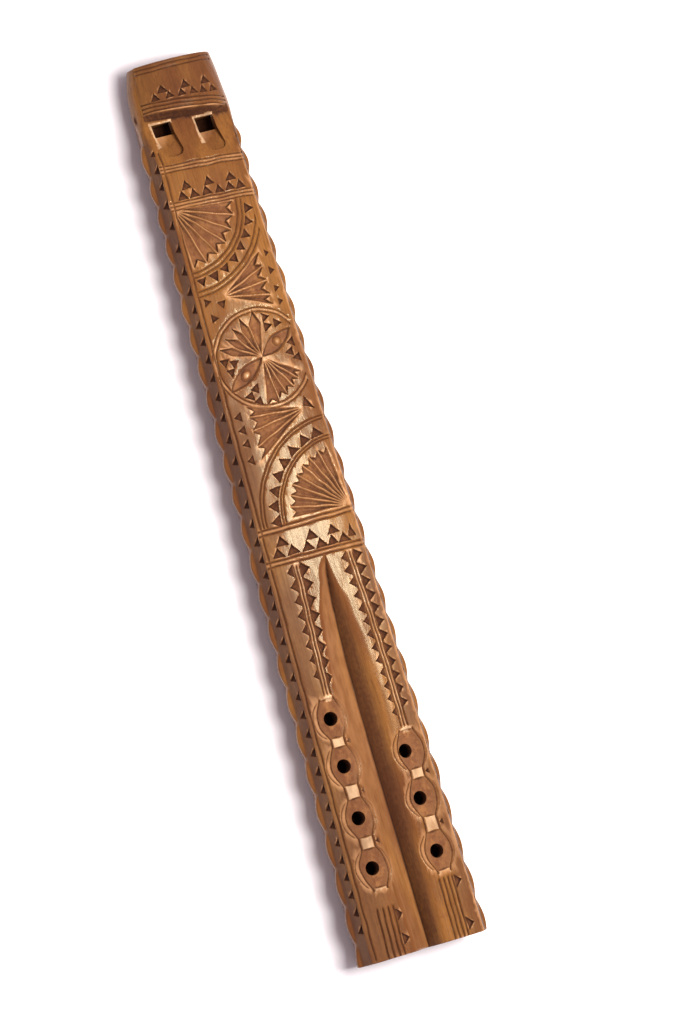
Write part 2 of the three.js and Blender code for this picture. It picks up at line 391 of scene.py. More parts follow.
def cut_channel(x, s, z):
    """The valley between the pipes: each side rolls over from the face and steepens. Gives the cut
    face, how much painted shade darkens its right side and how much painted light brightens its
    left side."""
    left, bottom, right = channel_edges(s)
    depth = path(s, (197, 0.3), (204, 2.0), (214, 3.6), (230, 5.2), (260, CHANNEL_DEPTH))
    width = np.where(x < bottom, bottom - left, right - bottom)
    t = np.clip(np.abs(x - bottom) / width, 0, 1)
    rolled = mix((1 - t) ** CHANNEL_LEFT_CURVE, smooth(1 - t, 0, 1), 0.6)
    drop = depth * np.where(x < bottom, rolled, (1 - t) ** CHANNEL_RIGHT_CURVE)
    drop = np.where(s > FORK_START, drop, 0)
    shade = smooth(drop, 0.3, 2.5) * smooth(x - bottom, -0.6, 0.2)
    lit = smooth(drop, 0.15, 1.0) * smooth(bottom - x, 0.2, 1.0) * (1 - 0.45 * smooth(s, 250, 320))
    return z - drop, shade, lit


def round_ends(x, s, z):
    """Draws each section in a little as it nears an end."""
    reach = np.clip(END_ROUND - np.minimum(s, LENGTH - s), 0, END_ROUND)
    draw = END_ROUND - np.sqrt(np.maximum(END_ROUND**2 - reach**2, 0))
    draw = draw * 0.8
    off = np.hypot(x, z - BORE_Z)
    return x - x / off * draw, z - (z - BORE_Z) / off * draw


# ---- the carver's cuts


class Relief:
    """How deep a surface is cut, how dark from stains and painted shade, and how pale it is worn
    and painted with highlight, over a grid of places (x, s).
    """

    def __init__(self, x, s, rows):
        self.x = x + ripple(x, s, 8.0, 13.0, 0.10)
        self.s = s + ripple(x, s, 11.0, 9.0, 0.10)
        self.rows = rows
        self.depth = np.zeros_like(x)
        self.stain_and_shade = np.zeros_like(x)
        self.wear_and_highlight = np.zeros_like(x)

    def band(self, low, high):
        """The rows of the grid that reach between two stations."""
        slack = STEP_SLANT * HEAD_HALF_END
        return slice(*np.searchsorted(self.rows, (low - slack, high + slack)))

    def cut(self, low, high, shape, stain_and_shade=0.0):
        """Deepens the relief between two stations to shape(x, s), and darkens the fresh cut with
        stains, and in the chips with painted shade too.
        """
        band = self.band(low, high)
        cut = shape(self.x[band], self.s[band])
        self.depth[band] = np.maximum(self.depth[band], cut)
        self.stain_and_shade[band] = np.maximum(self.stain_and_shade[band], stain_and_shade * smooth(cut, 0.02, 0.25))

    def rub_and_highlight(self, low, high, shape):
        """Marks wood that stands proud between cuts, and is worn pale and painted with highlight,
        between two stations.
        """
        band = self.band(low, high)
        rubbed_and_highlit = shape(self.x[band], self.s[band]) * (1 - smooth(self.depth[band], 0.05, 0.35))
        self.wear_and_highlight[band] = np.maximum(self.wear_and_highlight[band], rubbed_and_highlit)


def beside(x, s, a, b, inner):
    """Distance from the line through a and b, positive on the side where inner is."""
    along = np.array(b, float) - np.array(a, float)
    normal = np.array([-along[1], along[0]]) / np.hypot(*along)
    if np.dot(np.array(inner, float) - np.array(a, float), normal) < 0:
        normal = -normal
    return (x - a[0]) * normal[0] + (s - a[1]) * normal[1]


def chip(relief, deep, one, two, depth=1.0):
    """A three-cornered chip: two stabs meet at the deep corner, and the floor rises from there
    to the side opposite."""
    deep, one, two = np.array((deep, one, two), float) + rng.normal(0, CHIP_WOBBLE, (3, 2))
    tall = float(beside(deep[0], deep[1], one, two, deep))
    depth = depth * CHIP_DEPTH * rng.uniform(0.9, 1.1)

    def shape(x, s):
        base = beside(x, s, one, two, deep)
        floor = depth * (CHIP_HEEL + (1 - CHIP_HEEL) * base / tall)
        wall = np.minimum(beside(x, s, deep, one, two), beside(x, s, deep, two, one)) * CHIP_WALL
        return np.clip(np.minimum(np.minimum(floor, wall), base * 2.4), 0, None)

    low = min(deep[1], one[1], two[1])
    high = max(deep[1], one[1], two[1])
    # The chip is darkened: partly dirt in the hollow, partly painted shade.
    relief.cut(low - 0.3, high + 0.3, shape, CHIP_STAIN_AND_SHADE)


def chip_at(relief, x, s, wide, tall, heading, depth=1.0):
    """A chip by the middle of its base. Heading is where it points, in degrees: 0 is right and
    90 is towards the foot."""
    turn = math.radians(heading)
    ahead = (math.cos(turn), math.sin(turn))
    across = (-ahead[1], ahead[0])
    deep = (x + ahead[0] * tall, s + ahead[1] * tall)
    one = (x + across[0] * wide / 2, s + across[1] * wide / 2)
    two = (x - across[0] * wide / 2, s - across[1] * wide / 2)
    chip(relief, deep, one, two, depth)


def chip_arc(relief, centre, radius, headings, wide, tall, depth):
    """Chips that point away from a centre, one at each heading."""
    for heading in headings:
        turn = math.radians(heading)
        x = centre[0] + radius * math.cos(turn)
        s = centre[1] + radius * math.sin(turn)
        chip_at(relief, x, s, wide, tall, heading, depth)


def vee(distance, half, depth):
    """A V groove's depth at a distance from its line."""
    return np.clip(depth * (1 - np.abs(distance) / half), 0, None)


def hollow(distance, half, depth):
    """A round-bottomed groove's depth at a distance from its line."""
    return depth * (1 - smooth(np.abs(distance), 0, half))


def cross_groove(relief, s, slant, half, depth, bow=0.0):
    """A groove across the face. Slant is how much further down it is per millimetre to the
    right, and bow is how much its ends bend towards the foot."""
    width = face_half(max(s, FACE_START))

    def shape(x, t):
        return vee(t - (s + slant * x + bow * (x / width) ** 4), half, depth)

    reach = half + abs(slant) * width + abs(bow) + 1
    relief.cut(s - reach, s + reach, shape)


def long_groove(relief, line, low, high, half, depth):
    """A groove along the flute, at x = line(s), that fades out at its ends."""

    def shape(x, s):
        ends = smooth(s, low, low + 1.5) * (1 - smooth(s, high - 1.5, high))
        return hollow(x - line(s), half * 1.3, depth) * ends

    relief.cut(low, high, shape)


def arc_groove(relief, centre, radius, half, depth, keep):
    """A round groove, wherever keep(x, s) says that the knife went."""

    def shape(x, s):
        off = np.hypot(x - centre[0], s - centre[1]) - radius
        return vee(off, half, depth) * keep(x, s)

    relief.cut(centre[1] - radius - 1, centre[1] + radius + 1, shape)


def fan(relief, apex, edges, reach, tooth, depth, ends="round", points=False):
    """Hollow flutes that open out from an apex, between thin ribs.

    edges are the headings of the ribs. The flutes end at the distance reach from the apex,
    or with ends="straight" at that distance across the flute. A tooth of uncut wood points
    back into the end of each one, unless points are asked for: then each ends in a point."""
    edges = np.radians(np.asarray(edges, float))
    low, high = edges.min(), edges.max()
    sign = 1 if edges[-1] > edges[0] else -1
    turns = np.sort(edges)
    reaches = np.broadcast_to(reach, (len(edges) - 1,))
    if sign < 0:
        reaches = reaches[::-1]
    middle = (low + high) / 2

    def polar(x, s):
        """The distance across, the distance from the apex, and the heading from it."""
        dx, ds = x - apex[0], s - apex[1]
        turn = np.arctan2(ds, dx)
        turn = middle + (turn - middle + math.pi) % (2 * math.pi) - math.pi
        return np.abs(dx), np.hypot(dx, ds) + 1e-6, turn

    def leaning(angle):
        return np.sin(np.clip(angle, -1.5, 1.5))

    def shape(x, s):
        dx, r, turn = polar(x, s)
        k = np.clip(np.searchsorted(turns, turn) - 1, 0, len(turns) - 2)
        a, b = turns[k], turns[k + 1]
        across = np.clip((turn - a) / (b - a), 0, 1)
        wall = (np.minimum(leaning(turn - a), leaning(b - turn)) * r - FAN_RIB) * 1.9
        aside = np.abs(2 * across - 1)
        limit = reaches[k] - tooth * (aside**0.75 if points else 1 - aside)
        scoop = depth * (1.15 - 0.8 * aside**1.5) * (0.75 + 0.35 * r / limit)
        strokes = np.sin(GOUGE_STROKES * 2 * math.pi * across + 1.9 * k)
        scoop = scoop * (1 + GOUGE_MARK * strokes * smooth(r, 5, 11))
        gone = dx if ends == "straight" else r
        end = (limit - gone) * 2.4
        start = (r - 0.4) * 0.5
        inside = (turn > low) & (turn < high)
        cut = np.minimum(np.minimum(wall, scoop), np.minimum(end, start))
        return np.where(inside, np.clip(cut, 0, None), 0)

    span = float(np.max(reaches)) * (1.5 if ends == "straight" else 1.0) + abs(tooth) + 1
    relief.cut(apex[1] - span, apex[1] + span, shape, FLUTE_STAIN)

    def ribs(x, s):
        dx, r, turn = polar(x, s)
        from_rib = np.min([np.abs(leaning(turn - e)) * r for e in turns], axis=0)
        gone = dx if ends == "straight" else r
        within = (gone < float(np.min(reaches)) + 0.3) & (turn > low - 0.1) & (turn < high + 0.1)
        return FAN_WEAR_AND_HIGHLIGHT * (1 - smooth(from_rib, 0.25, 0.6)) * within

    # The ribs are made pale: partly worn, partly painted highlight.
    relief.rub_and_highlight(apex[1] - span, apex[1] + span, ribs)


def leaf(relief, base, tip, half, depth, bead):
    """A pointed leaf from base to tip, hollowed, with a round bead left standing in it.

    bead is how far along the leaf it stands, its radius along and its radius across."""
    base, tip = np.array(base, float), np.array(tip, float)
    long = np.hypot(*(tip - base))
    ahead = (tip - base) / long

    def along_and_off(x, s):
        dx, ds = x - base[0], s - base[1]
        return dx * ahead[0] + ds * ahead[1], -dx * ahead[1] + ds * ahead[0]

    def shape(x, s):
        run, off = along_and_off(x, s)
        t = run / long
        profile = half * np.sin(np.clip(t, 0, 1) * math.pi) ** 0.8
        hollow = np.clip(np.minimum(depth, (profile - np.abs(off)) * 1.5), 0, None)
        place, along, across = bead
        from_bead = np.hypot((t * long - place) / along, off / across)
        dome = depth * 0.95 * np.sqrt(np.clip(1 - from_bead**2, 0, 1))
        return np.clip(hollow - dome, 0, None)

    low, high = min(base[1], tip[1]) - half, max(base[1], tip[1]) + half
    relief.cut(low, high, shape, FLUTE_STAIN)

    def top(x, s):
        place, along, across = bead
        run, off = along_and_off(x, s)
        return PALEST_WEAR_AND_HIGHLIGHT * (1 - smooth(np.hypot((run - place) / along, off / across), 0.5, 0.85))

    # The bead's top is made pale: partly worn, partly painted highlight.
    relief.rub_and_highlight(low, high, top)


# ---- the ornament, from the head to the foot


def chip_rows(relief, s, slant, top_xs, low_xs, wide, tall, depth=0.95):
    """Chips that point to the head, in two rows: each upper one stands over a lower pair."""
    for x in top_xs:
        chip_at(relief, x, s - tall * 1.02 + slant * x, wide, tall, -90, depth)
    for x in low_xs:
        chip_at(relief, x, s + slant * x, wide, tall, -90, depth)


def carve_head(relief):
    cross_groove(relief, 1.5, 0.0, 0.5, 0.45)
    cross_groove(relief, 3.1, 0.0, 0.5, 0.45)
    for x in (-6.5, 2.7, 11.5):
        chip_at(relief, x, 12.2, 4.4, 3.3, -90, 0.9)
    for x in (-10.0, -4.4, 0.4, 5.3, 9.6, 14.0):
        chip_at(relief, x, 15.0 + 0.05 * x, 3.7, 3.0, -90, 0.9)
    for s in (16.0, 17.5, 19.0):
        cross_groove(relief, s, 0.1, 0.5, 0.55, bow=0.5)


def ribs_across(relief, s, slant, count, spacing, depth=0.55):
    """Grooves across the face, with thin ribs left between them."""
    for k in range(count):
        offset = (k - (count - 1) / 2) * spacing
        cross_groove(relief, s + offset, slant, spacing * 0.38, depth)
    wide = (count - 1) / 2 * spacing

    def between(x, t):
        return RING_WEAR_AND_HIGHLIGHT * (np.abs(t - s - slant * x) < wide)

    # The ribs between the grooves are made pale: partly worn, partly painted highlight.
    relief.rub_and_highlight(s - wide - 2, s + wide + 2, between)


def carve_first_band(relief):
    ribs_across(relief, 41.6, 0.05, 3, 1.3)
    chip_rows(relief, 54.0, 0.04, (-8.3, 0.9, 10.1), (-10.6, -5.9, -0.9, 4.1, 8.7, 12.9), 4.4, 3.6)
    ribs_across(relief, 56.0, 0.04, 3, 1.3)


def right_limit(s, margin):
    return face_half(s) + CARVED_LEFT - margin


def carve_first_fan(relief):
    apex = (-15.4, 56.6)
    fan(relief, apex, np.linspace(4, 87, 7), 23.6, 2.6, 0.9)

    def inner(x, s):
        return (s > apex[1] + 1.2) & (x > apex[0] - 0.3)

    def outer(x, s):
        return (s > apex[1] + 1.6) & (x > apex[0] - 0.3) & (x < right_limit(s, 2.6))

    for radius in (25.0, 26.8):
        arc_groove(relief, apex, radius, 0.6, 0.55, inner)
    for radius in (32.4, 34.3):
        arc_groove(relief, apex, radius, 0.6, 0.55, outer)
    chip_arc(relief, apex, 27.9, np.linspace(11.5, 84, 8), 4.3, 3.6, 0.95)


def carve_second_fan(relief):
    apex = (-6.3, 93.0)
    fan(relief, apex, (-36, -22.5, -6.4, 10.5, 22.0), 19.2, 2.8, 0.95, ends="straight")
    for s in (80.6, 87.6, 94.6, 99.9):
        chip_at(relief, 14.6, s, 3.0, 2.2, 0, 0.7)
    for x, s, heading in ((-12.6, 94.4, -120), (-8.4, 96.0, -30), (-11.4, 99.4, 125)):
        chip_at(relief, x, s, 3.6, 2.9, heading, 0.85)


ROSETTE = (2.1, 118.8)


def carve_rosette(relief):
    cx, cs = ROSETTE

    def ring(x, s):
        return (x > -right_limit(s, 2.2)) & (x < right_limit(s, 2.0))

    for radius in (18.0, 19.4):
        arc_groove(relief, (cx, cs + 0.4), radius, 0.42, 0.5, ring)

    def between(x, s):
        return RING_WEAR_AND_HIGHLIGHT * ring(x, s) * (np.abs(np.hypot(x - cx, s - cs - 0.4) - 18.7) < 0.6)

    # The rib between the two grooves is made pale: partly worn, partly painted highlight.
    relief.rub_and_highlight(cs - 21, cs + 21, between)
    # The lobe towards the head ends in points, and the lobe towards the foot in teeth.
    fan(relief, ROSETTE, (-75, -98, -115, -131, -149, -166), (18.4, 17.4, 16.4, 16.2, 17.4),
        5.6, 0.95, points=True)
    fan(relief, ROSETTE, (101, 84, 70, 56, 43, 31), (18.8, 17.4, 17.0, 16.6, 16.2), 2.2, 0.9)
    leaf(relief, ROSETTE, (cx + 14.4, cs - 8.5), 3.1, 0.9, (9.0, 1.8, 1.8))
    leaf(relief, ROSETTE, (cx - 15.9, cs + 10.2), 3.2, 0.9, (9.6, 2.5, 1.8))
    chips = (
        (4.0, -14.6, 0), (4.0, -10.9, 0), (8.3, -11.4, 10),
        (-14.0, -0.9, 215), (-10.4, 0.3, 215), (-12.7, 3.3, 215),
        (-5.0, 11.0, 180), (-7.6, 13.3, 180), (-5.0, 15.9, 180),
        (11.0, 1.6, -60), (13.2, 4.2, -60), (12.5, -2.1, -60),
    )
    for dx, ds, heading in chips:
        chip_at(relief, cx + dx, cs + ds, 3.9, 3.4, heading, 0.95)


def carve_third_fan(relief):
    apex = (13.2, 141.3)
    fan(relief, apex, (195, 184.1, 170.8, 156.6, 146), 23.2, 2.8, 0.95, ends="straight")
    for s in (138.6, 143.8, 149.2, 155.6):
        chip_at(relief, -12.4, s, 3.9, 3.0, 180, 0.9)
    chip(relief, (17.0, 142.6), (13.6, 137.0), (12.4, 140.6), 1.0)


def carve_fourth_fan(relief):
    apex = (19.6, 181.2)
    fan(relief, apex, np.linspace(181.5, 264, 9), 24.2, 2.3, 0.95)

    def keep(x, s):
        return (s < apex[1] + 0.6) & (x < apex[0] + 0.5)

    for radius in (26.5, 27.6):
        arc_groove(relief, apex, radius, 0.4, 0.5, keep)
    for radius in (34.4, 35.7):
        arc_groove(relief, apex, radius, 0.45, 0.5, keep)
    chip_arc(relief, apex, 28.5, np.linspace(181.5, 260, 8), 5.2, 4.2, 1.05)


def carve_second_band(relief):
    ribs_across(relief, 183.1, -0.015, 2, 1.7, 0.65)
    top = (-11.1, 1.2, 9.9)
    low = (-13.6, -7.6, -1.6, 3.9, 8.6, 13.6)
    chip_rows(relief, 194.0, 0.02, top, low, 5.3, 4.0, 1.05)
    chip_at(relief, 17.2, 192.8, 3.4, 5.0, -90, 0.9)
    ribs_across(relief, 195.8, 0.012, 2, 1.7, 0.65)


def strip(relief, line, low, high, left_pitch, right_pitch):
    """Two thin ribs along a pipe, with a row of chips pointing away on either side."""
    for offset in (-1.25, 0.0, 1.25):
        long_groove(relief, lambda s, o=offset: line(s) + o, low, high, 0.45, 0.6)
    # The ribs are made pale: partly worn, partly painted highlight.
    relief.rub_and_highlight(low, high, lambda x, s: PALEST_WEAR_AND_HIGHLIGHT * (np.abs(x - line(s)) < 1.2))
    for side, pitch in ((-1, left_pitch), (1, right_pitch)):
        count = int((high - low - 2.0) / pitch)
        for k in range(count):
            s = low + 2.6 + k * pitch
            heading = 180 if side < 0 else 0
            tall = (3.4 + 0.3 * side) * (1 - 0.3 * k / max(count, 1))
            wide = pitch * (0.98 - 0.15 * k / max(count, 1))
            chip_at(relief, float(line(s)) + side * 1.4, s, wide, tall, heading, 1.0)


def left_line(s):
    return path(s, (197, -8.1), (225, -9.4), (250, -10.5), (320, -10.8), (350, -11.9))


def chain_left(s):
    return path(s, (250, -11.4), (325, -11.6))


def right_line(s):
    return path(s, (197, 14.1), (225, 15.4), (262, 15.9), (300, 15.3), (350, 14.8))


def carve_strips(relief):
    strip(relief, left_line, 197.4, LEFT_HOLES[0] - 8.4, 5.7, 6.0)
    strip(relief, right_line, 197.4, RIGHT_HOLES[0] - 8.4, 5.1, 5.3)
    for offset in (-3.6, -1.3, 0.9, 2.9):
        long_groove(relief, lambda s, o=offset: left_line(s) + o - 0.4, 330.0, 351.5, 0.45, 0.6)
        long_groove(relief, lambda s, o=offset: right_line(s) + 0.85 * o, 325.5, 351.5, 0.45, 0.6)
    for s in (328.8, 345.4):
        chip_at(relief, 17.9, s, 5.8, 3.0, 0, 0.9)
    for s in (334.5, 344.0):
        chip_at(relief, -8.6, s, 5.0, 2.8, 0, 0.9)


OVAL_REACH = 8.3


def carve_chain(relief, line, holes, wide, left_rim, right_rim):
    """Dished, pointed ovals joined by bridges, with a groove and a raised rim round them."""
    low, high = holes[0] - 8.6, holes[-1] + 9.2
    neck = 2.7

    def around(x, s):
        """The place across from the chain's line, half the oval's width, how far along the
        nearest hole is, and half the width of the whole outline."""
        nearest = np.min([np.abs(s - h) for h in holes], axis=0)
        oval = wide * (1 - np.clip(nearest / OVAL_REACH, 0, 1) ** 2.1)
        return x - line(s), oval, nearest, np.hypot(np.maximum(oval, 0), neck)

    def shape(x, s):
        off, oval, nearest, outline = around(x, s)
        inside = outline - np.abs(off)
        end = 7.5 + 0.25 * np.clip(1 - (off / neck) ** 2, 0, 1) - nearest
        floor = 0.4 + 0.8 * np.clip(inside / wide, 0, 1)
        dished = np.clip(np.minimum(floor, np.minimum(inside * 1.5, end * 2.0)), 0, None)
        gate = smooth(s, low, low + 1.2) * (1 - smooth(s, high - 1.2, high))
        wave = vee(np.abs(off) - outline, 0.6, 0.75) * gate
        rim = np.where(off < 0, left_rim, right_rim)
        outer = np.hypot(np.maximum(oval, 0) + rim - 0.4, neck * 0.4)
        line_out = vee(np.abs(off) - outer, 0.45, 0.35) * gate * smooth(oval, 0.8, 2.0)
        return np.maximum(np.maximum(dished, wave), line_out)

    relief.cut(low - 1, high + 1, shape, DISH_STAIN)

    def proud(x, s):
        off, _, nearest, outline = around(x, s)
        bridge = (nearest > 7.3) & (np.abs(off) < neck)
        rim = (np.abs(off) > outline) & (np.abs(off) < outline + 2.4) & (nearest < OVAL_REACH)
        here = (s > low) & (s < high)
        # Bridges and rims are made pale: partly worn, partly painted highlight, which makes the
        # left rim paler.
        return here * np.maximum(PALEST_WEAR_AND_HIGHLIGHT * bridge, np.where(off < 0, 0.6, 0.35) * rim)

    relief.rub_and_highlight(low - 1, high + 1, proud)
    for a, b in zip(holes, holes[1:]):
        middle = (a + b) / 2
        chip_at(relief, float(line(middle)) + 4.9, middle + 0.3, 2.4, 1.7, 180, 0.7)


def carve_windows(relief):
    """The chamfers at the head end and along the left side of each window, made pale: partly worn,
    partly painted highlight.
    """
    for bore, (start, end, _), _ in PIPES:
        left = bore_x(bore, end) + CARVED_LEFT - WINDOW_WIDTH / 2
        right = left + WINDOW_WIDTH

        def shape(x, s, left=left, right=right, start=start, end=end):
            side = vee(x - left, CHAMFER, CHAMFER_DEPTH) * (s > start - CHAMFER) * (s < end + 4.5)
            head = vee(s - start, CHAMFER, CHAMFER_DEPTH) * (x > left - CHAMFER) * (x < right + 0.3)
            return np.maximum(side, head)

        relief.rub_and_highlight(start - 1, end + 5, lambda x, s, cut=shape: 1.0 * (cut(x, s) > 0.02))
        relief.cut(start - 1, end + 5, shape)


def carve_edges(relief):
    """The thin bead that runs down the left edge of the face."""
    long_groove(relief, lambda s: 1.5 - face_half(s) + CARVED_LEFT, 33.0, LENGTH, 0.45, 0.5)


def tool_marks(relief):
    """Fine strokes of the knife, strongest on the floors of the deeper cuts."""
    a = ripple(relief.x, relief.s, 1.1, 1.7, 0.02, waves=9)
    b = ripple(relief.x + 3.1 * relief.s, relief.s, 2.6, 2.2, 0.016, waves=7)
    return (a + b) * smooth(relief.depth, 0.2, 0.6)


def carve_face(x, s, rows):
    relief = Relief(x, s, rows)
    cuts = (
        carve_edges, carve_head, carve_windows, carve_first_band, carve_first_fan,
        carve_second_fan, carve_rosette, carve_third_fan, carve_fourth_fan,
        carve_second_band, carve_strips,
    )
    for carve in cuts:
        carve(relief)
    carve_chain(relief, chain_left, LEFT_HOLES, 4.7, 3.0, 2.4)
    carve_chain(relief, right_line, RIGHT_HOLES, 4.6, 2.9, 1.9)
    return relief.depth + tool_marks(relief), relief.stain_and_shade, relief.wear_and_highlight


# The row's chips were set out by eye: closer in places. Each place is a chip's number and station,
# and the places past both ends keep the spacing even there.
WALL_CHIPS = 43
WALL_CHIP_PLACES = (
    (-3, 11.0), (0, 31.3), (3, 51.7), (7, 85.7), (10, 105.3), (13, 126.9), (19, 176.5),
    (25, 215.2), (34, 279.7), (43, 341.0), (46, 362.0)
)


def carve_wall(w, s, rows):
    """One side wall's row of chips: w is the distance down from the edge of the face."""
    relief = Relief(w, s, rows)
    for k in range(WALL_CHIPS):
        start = float(path(k, *WALL_CHIP_PLACES))
        chip(relief, (0.5, start), (0.6, start + 4.2), (3.8, start + 3.2), 0.95)
    return relief.depth, relief.stain_and_shade


def carve_walls(x, s, z, rows, plan):
    """For each side wall: its columns of the grid, how deep they are cut, and how dark they are
    made:
    the chips darker, over painted shade on the whole wall.
    """
    for side in ("right", "left"):
        columns = [j for j, (part, zone, _) in enumerate(plan) if part == side and zone == 0]
        edge_x = np.sign(x[:, columns[:1]]) * face_half(rows)[:, None]
        down = np.hypot(x[:, columns] - edge_x, z[:, columns] - FACE_EDGE_Z)
        here = s[:, columns]
        below = smooth(here, 26.0, 30.0)
        cuts, dark = carve_wall(down, here, rows)
        # Painted shade darkens the whole wall.
        yield columns, cuts * below, np.maximum(dark, WALL_PAINTED_SHADE) * below


def darker_margins(x, s):
    """How much darker the face's margins are made: the left one past station 120, and the right
    one, less, past station 185.
    """
    left = smooth(-x, 9.5, 14) * smooth(s, 120, 150)
    right = 0.6 * smooth(x, 15.5, 19) * smooth(s, 185, 200)
    return MARGIN_DARKENING * np.maximum(left, right)


# ---- from grid to mesh


def grid_normals(x, y, z):
    """Outward normals of a grid of sections that closes on itself across its columns."""
    around = np.stack([np.roll(a, -1, 1) - np.roll(a, 1, 1) for a in (x, y, z)], -1)
    along = np.stack([np.gradient(a, axis=0) for a in (x, y, z)], -1)
    normal = np.cross(along, around)
    return normal / (np.linalg.norm(normal, axis=2, keepdims=True) + 1e-12)


def blurred(points, rounds):
    for _ in range(rounds):
        points = (np.roll(points, 1, 1) + 2 * points + np.roll(points, -1, 1)) / 4
        inner = (points[:-2] + 2 * points[1:-1] + points[2:]) / 4
        points = np.concatenate([points[:1], inner, points[-1:]])
    return points


def carved_grid():
    """The carved skin of the block: its points, and at each of them how deep it is cut, how sharp
    the surface is, how dark from stains and painted shade, and how pale it is worn and painted with
    highlight."""
    rows = station_rows()
    plan = ring_plan()
    x, z = blank_grid(rows, plan)
    x, z = ease_corners(x, z, FACE_COLUMNS, 3)
    follow = smooth(rows, 4.0, 16.0) * (1 - smooth(rows, 27.0, 45.0))
    s = rows[:, None] + STEP_SLANT * x * follow[:, None]
    y = END_Y - s
    carved_x = x + CARVED_LEFT
    z = np.where(z > UPPER_Z, cut_facet(carved_x, s, z), z)
    face = np.array([part == "face" for part, _, _ in plan])
    stain_and_shade = np.zeros_like(x)
    z[:, face], shade, lit = cut_channel(carved_x[:, face], s[:, face], z[:, face])
    normal = grid_normals(x, y, z)

    depth = np.zeros_like(x)
    wear_and_highlight = np.zeros_like(x)
    depth[:, face], stain_and_shade[:, face], wear_and_highlight[:, face] = carve_face(carved_x[:, face], s[:, face], rows)
    # Painted shade on the valley's right side, and painted light on its left side.
    stain_and_shade[:, face] = np.maximum(stain_and_shade[:, face], VALLEY_PAINTED_SHADE * shade)
    wear_and_highlight[:, face] = np.maximum(wear_and_highlight[:, face], VALLEY_PAINTED_LIGHT * lit)
    # The face's margins are made darker.
    stain_and_shade[:, face] = np.maximum(stain_and_shade[:, face], darker_margins(carved_x, s)[:, face])
    stain_and_shade = np.maximum(stain_and_shade, HEAD_STAIN * (1 - smooth(s, 17, 22)))
    # Painted shade on the wall of the step.
    stain_and_shade = np.maximum(stain_and_shade, STEP_PAINTED_SHADE * step_shade(carved_x, s, z))
    for columns, cuts, dark in carve_walls(x, s, z, rows, plan):
        depth[:, columns] = cuts
        stain_and_shade[:, columns] = dark

    swell = ripple(x + z, s, 26.0, 47.0, 0.07) + ripple(x - z, s, 7.0, 16.0, 0.03)
    swell = swell * smooth(np.minimum(s, LENGTH - s), 0.0, 4.0)
    flat_back = np.clip(z / 1.5, 0, 1)
    move = (swell * flat_back - depth)[..., None] * normal
    points = np.stack([x, y, z], -1) + move
    px, pz = round_ends(points[..., 0], s, points[..., 2])
    points[..., 0], points[..., 2] = px, np.maximum(pz, 0.0)

    sharp = np.einsum("ijk,ijk->ij", points - blurred(points, 7), normal)
    # Painted highlight: a pale line along the right edge of the face, where it catches the light.
    highlit_arris = np.array([part == "face" and u > 0.985 for part, _, u in plan])
    wear_and_highlight[:, highlit_arris] = 0.85 * smooth(rows, 36.0, 44.0)[:, None]
    return points, {"recess": depth, "sharp": sharp, "stain_and_shade": stain_and_shade, "wear_and_highlight": wear_and_highlight}


def add_object(name, data):
    piece = bpy.data.objects.new(name, data)
    bpy.context.scene.collection.objects.link(piece)
    return piece


def grid_object(name, points):
    """A closed mesh from a grid whose columns go round, with a flat cap at each end."""
    rows, around = points.shape[:2]
    index = np.arange(rows * around).reshape(rows, around)
    a, b = index[:-1], index[1:]
    quads = np.stack([a, b, np.roll(b, -1, 1), np.roll(a, -1, 1)], -1).reshape(-1, 4)
    mesh = bpy.data.meshes.new(name)
    mesh.vertices.add(rows * around)
    mesh.vertices.foreach_set("co", (points * MM).astype(np.float32).ravel())
    loops = np.concatenate([quads.ravel(), index[0], index[-1][::-1]])
    starts = np.concatenate([np.arange(len(quads)) * 4, [len(quads) * 4, len(quads) * 4 + around]])
    mesh.loops.add(len(loops))
    mesh.loops.foreach_set("vertex_index", loops.astype(np.int32))
    mesh.polygons.add(len(starts))
    mesh.polygons.foreach_set("loop_start", starts.astype(np.int32))
    mesh.update(calc_edges=True)
    mesh.validate()
    return add_object(name, mesh)


def modify(piece, kind, **settings):
    """Gives the piece a modifier with these settings, and applies it."""
    modifier = piece.modifiers.new("change", kind)
    for key, value in settings.items():
        setattr(modifier, key, value)
    graph = bpy.context.evaluated_depsgraph_get()
    made = bpy.data.meshes.new_from_object(piece.evaluated_get(graph))
    piece.modifiers.clear()
    piece.data = made


def bore_x(bore, s):
    return bore[0] + (bore[1] - bore[0]) * (s - BORE_START) / (LENGTH - BORE_START)


def place(x, s, z):
    return Vector((x, END_Y - s, z)) * MM


def add_rod(mesh, start, end, radius, end_radius=None, segments=64):
    """A closed round rod between two points of the design, added to a bmesh."""
    a, b = place(*start), place(*end)
    turn = (b - a).to_track_quat("Z", "Y").to_matrix().to_4x4()
    matrix = Matrix.Translation((a + b) / 2) @ turn
    wide = {"radius1": radius * MM, "radius2": (end_radius or radius) * MM}
    bmesh.ops.create_cone(
        mesh, cap_ends=True, segments=segments, depth=(b - a).length, matrix=matrix, **wide
    )


def join_rings(mesh, one, other):
    """Faces between two rings of as many vertices."""
    for i in range(len(one)):
        j = (i + 1) % len(one)
        mesh.faces.new((one[j], one[i], other[i], other[j]))


def add_prism(mesh, outline, x, width):
    """A closed prism across the flute, from an outline of (s, z) points, added to a bmesh."""
    left = [mesh.verts.new(place(x - width / 2, s, z)) for s, z in outline]
    right = [mesh.verts.new(place(x + width / 2, s, z)) for s, z in outline]
    mesh.faces.new(left)
    mesh.faces.new(right[::-1])
    join_rings(mesh, left, right)


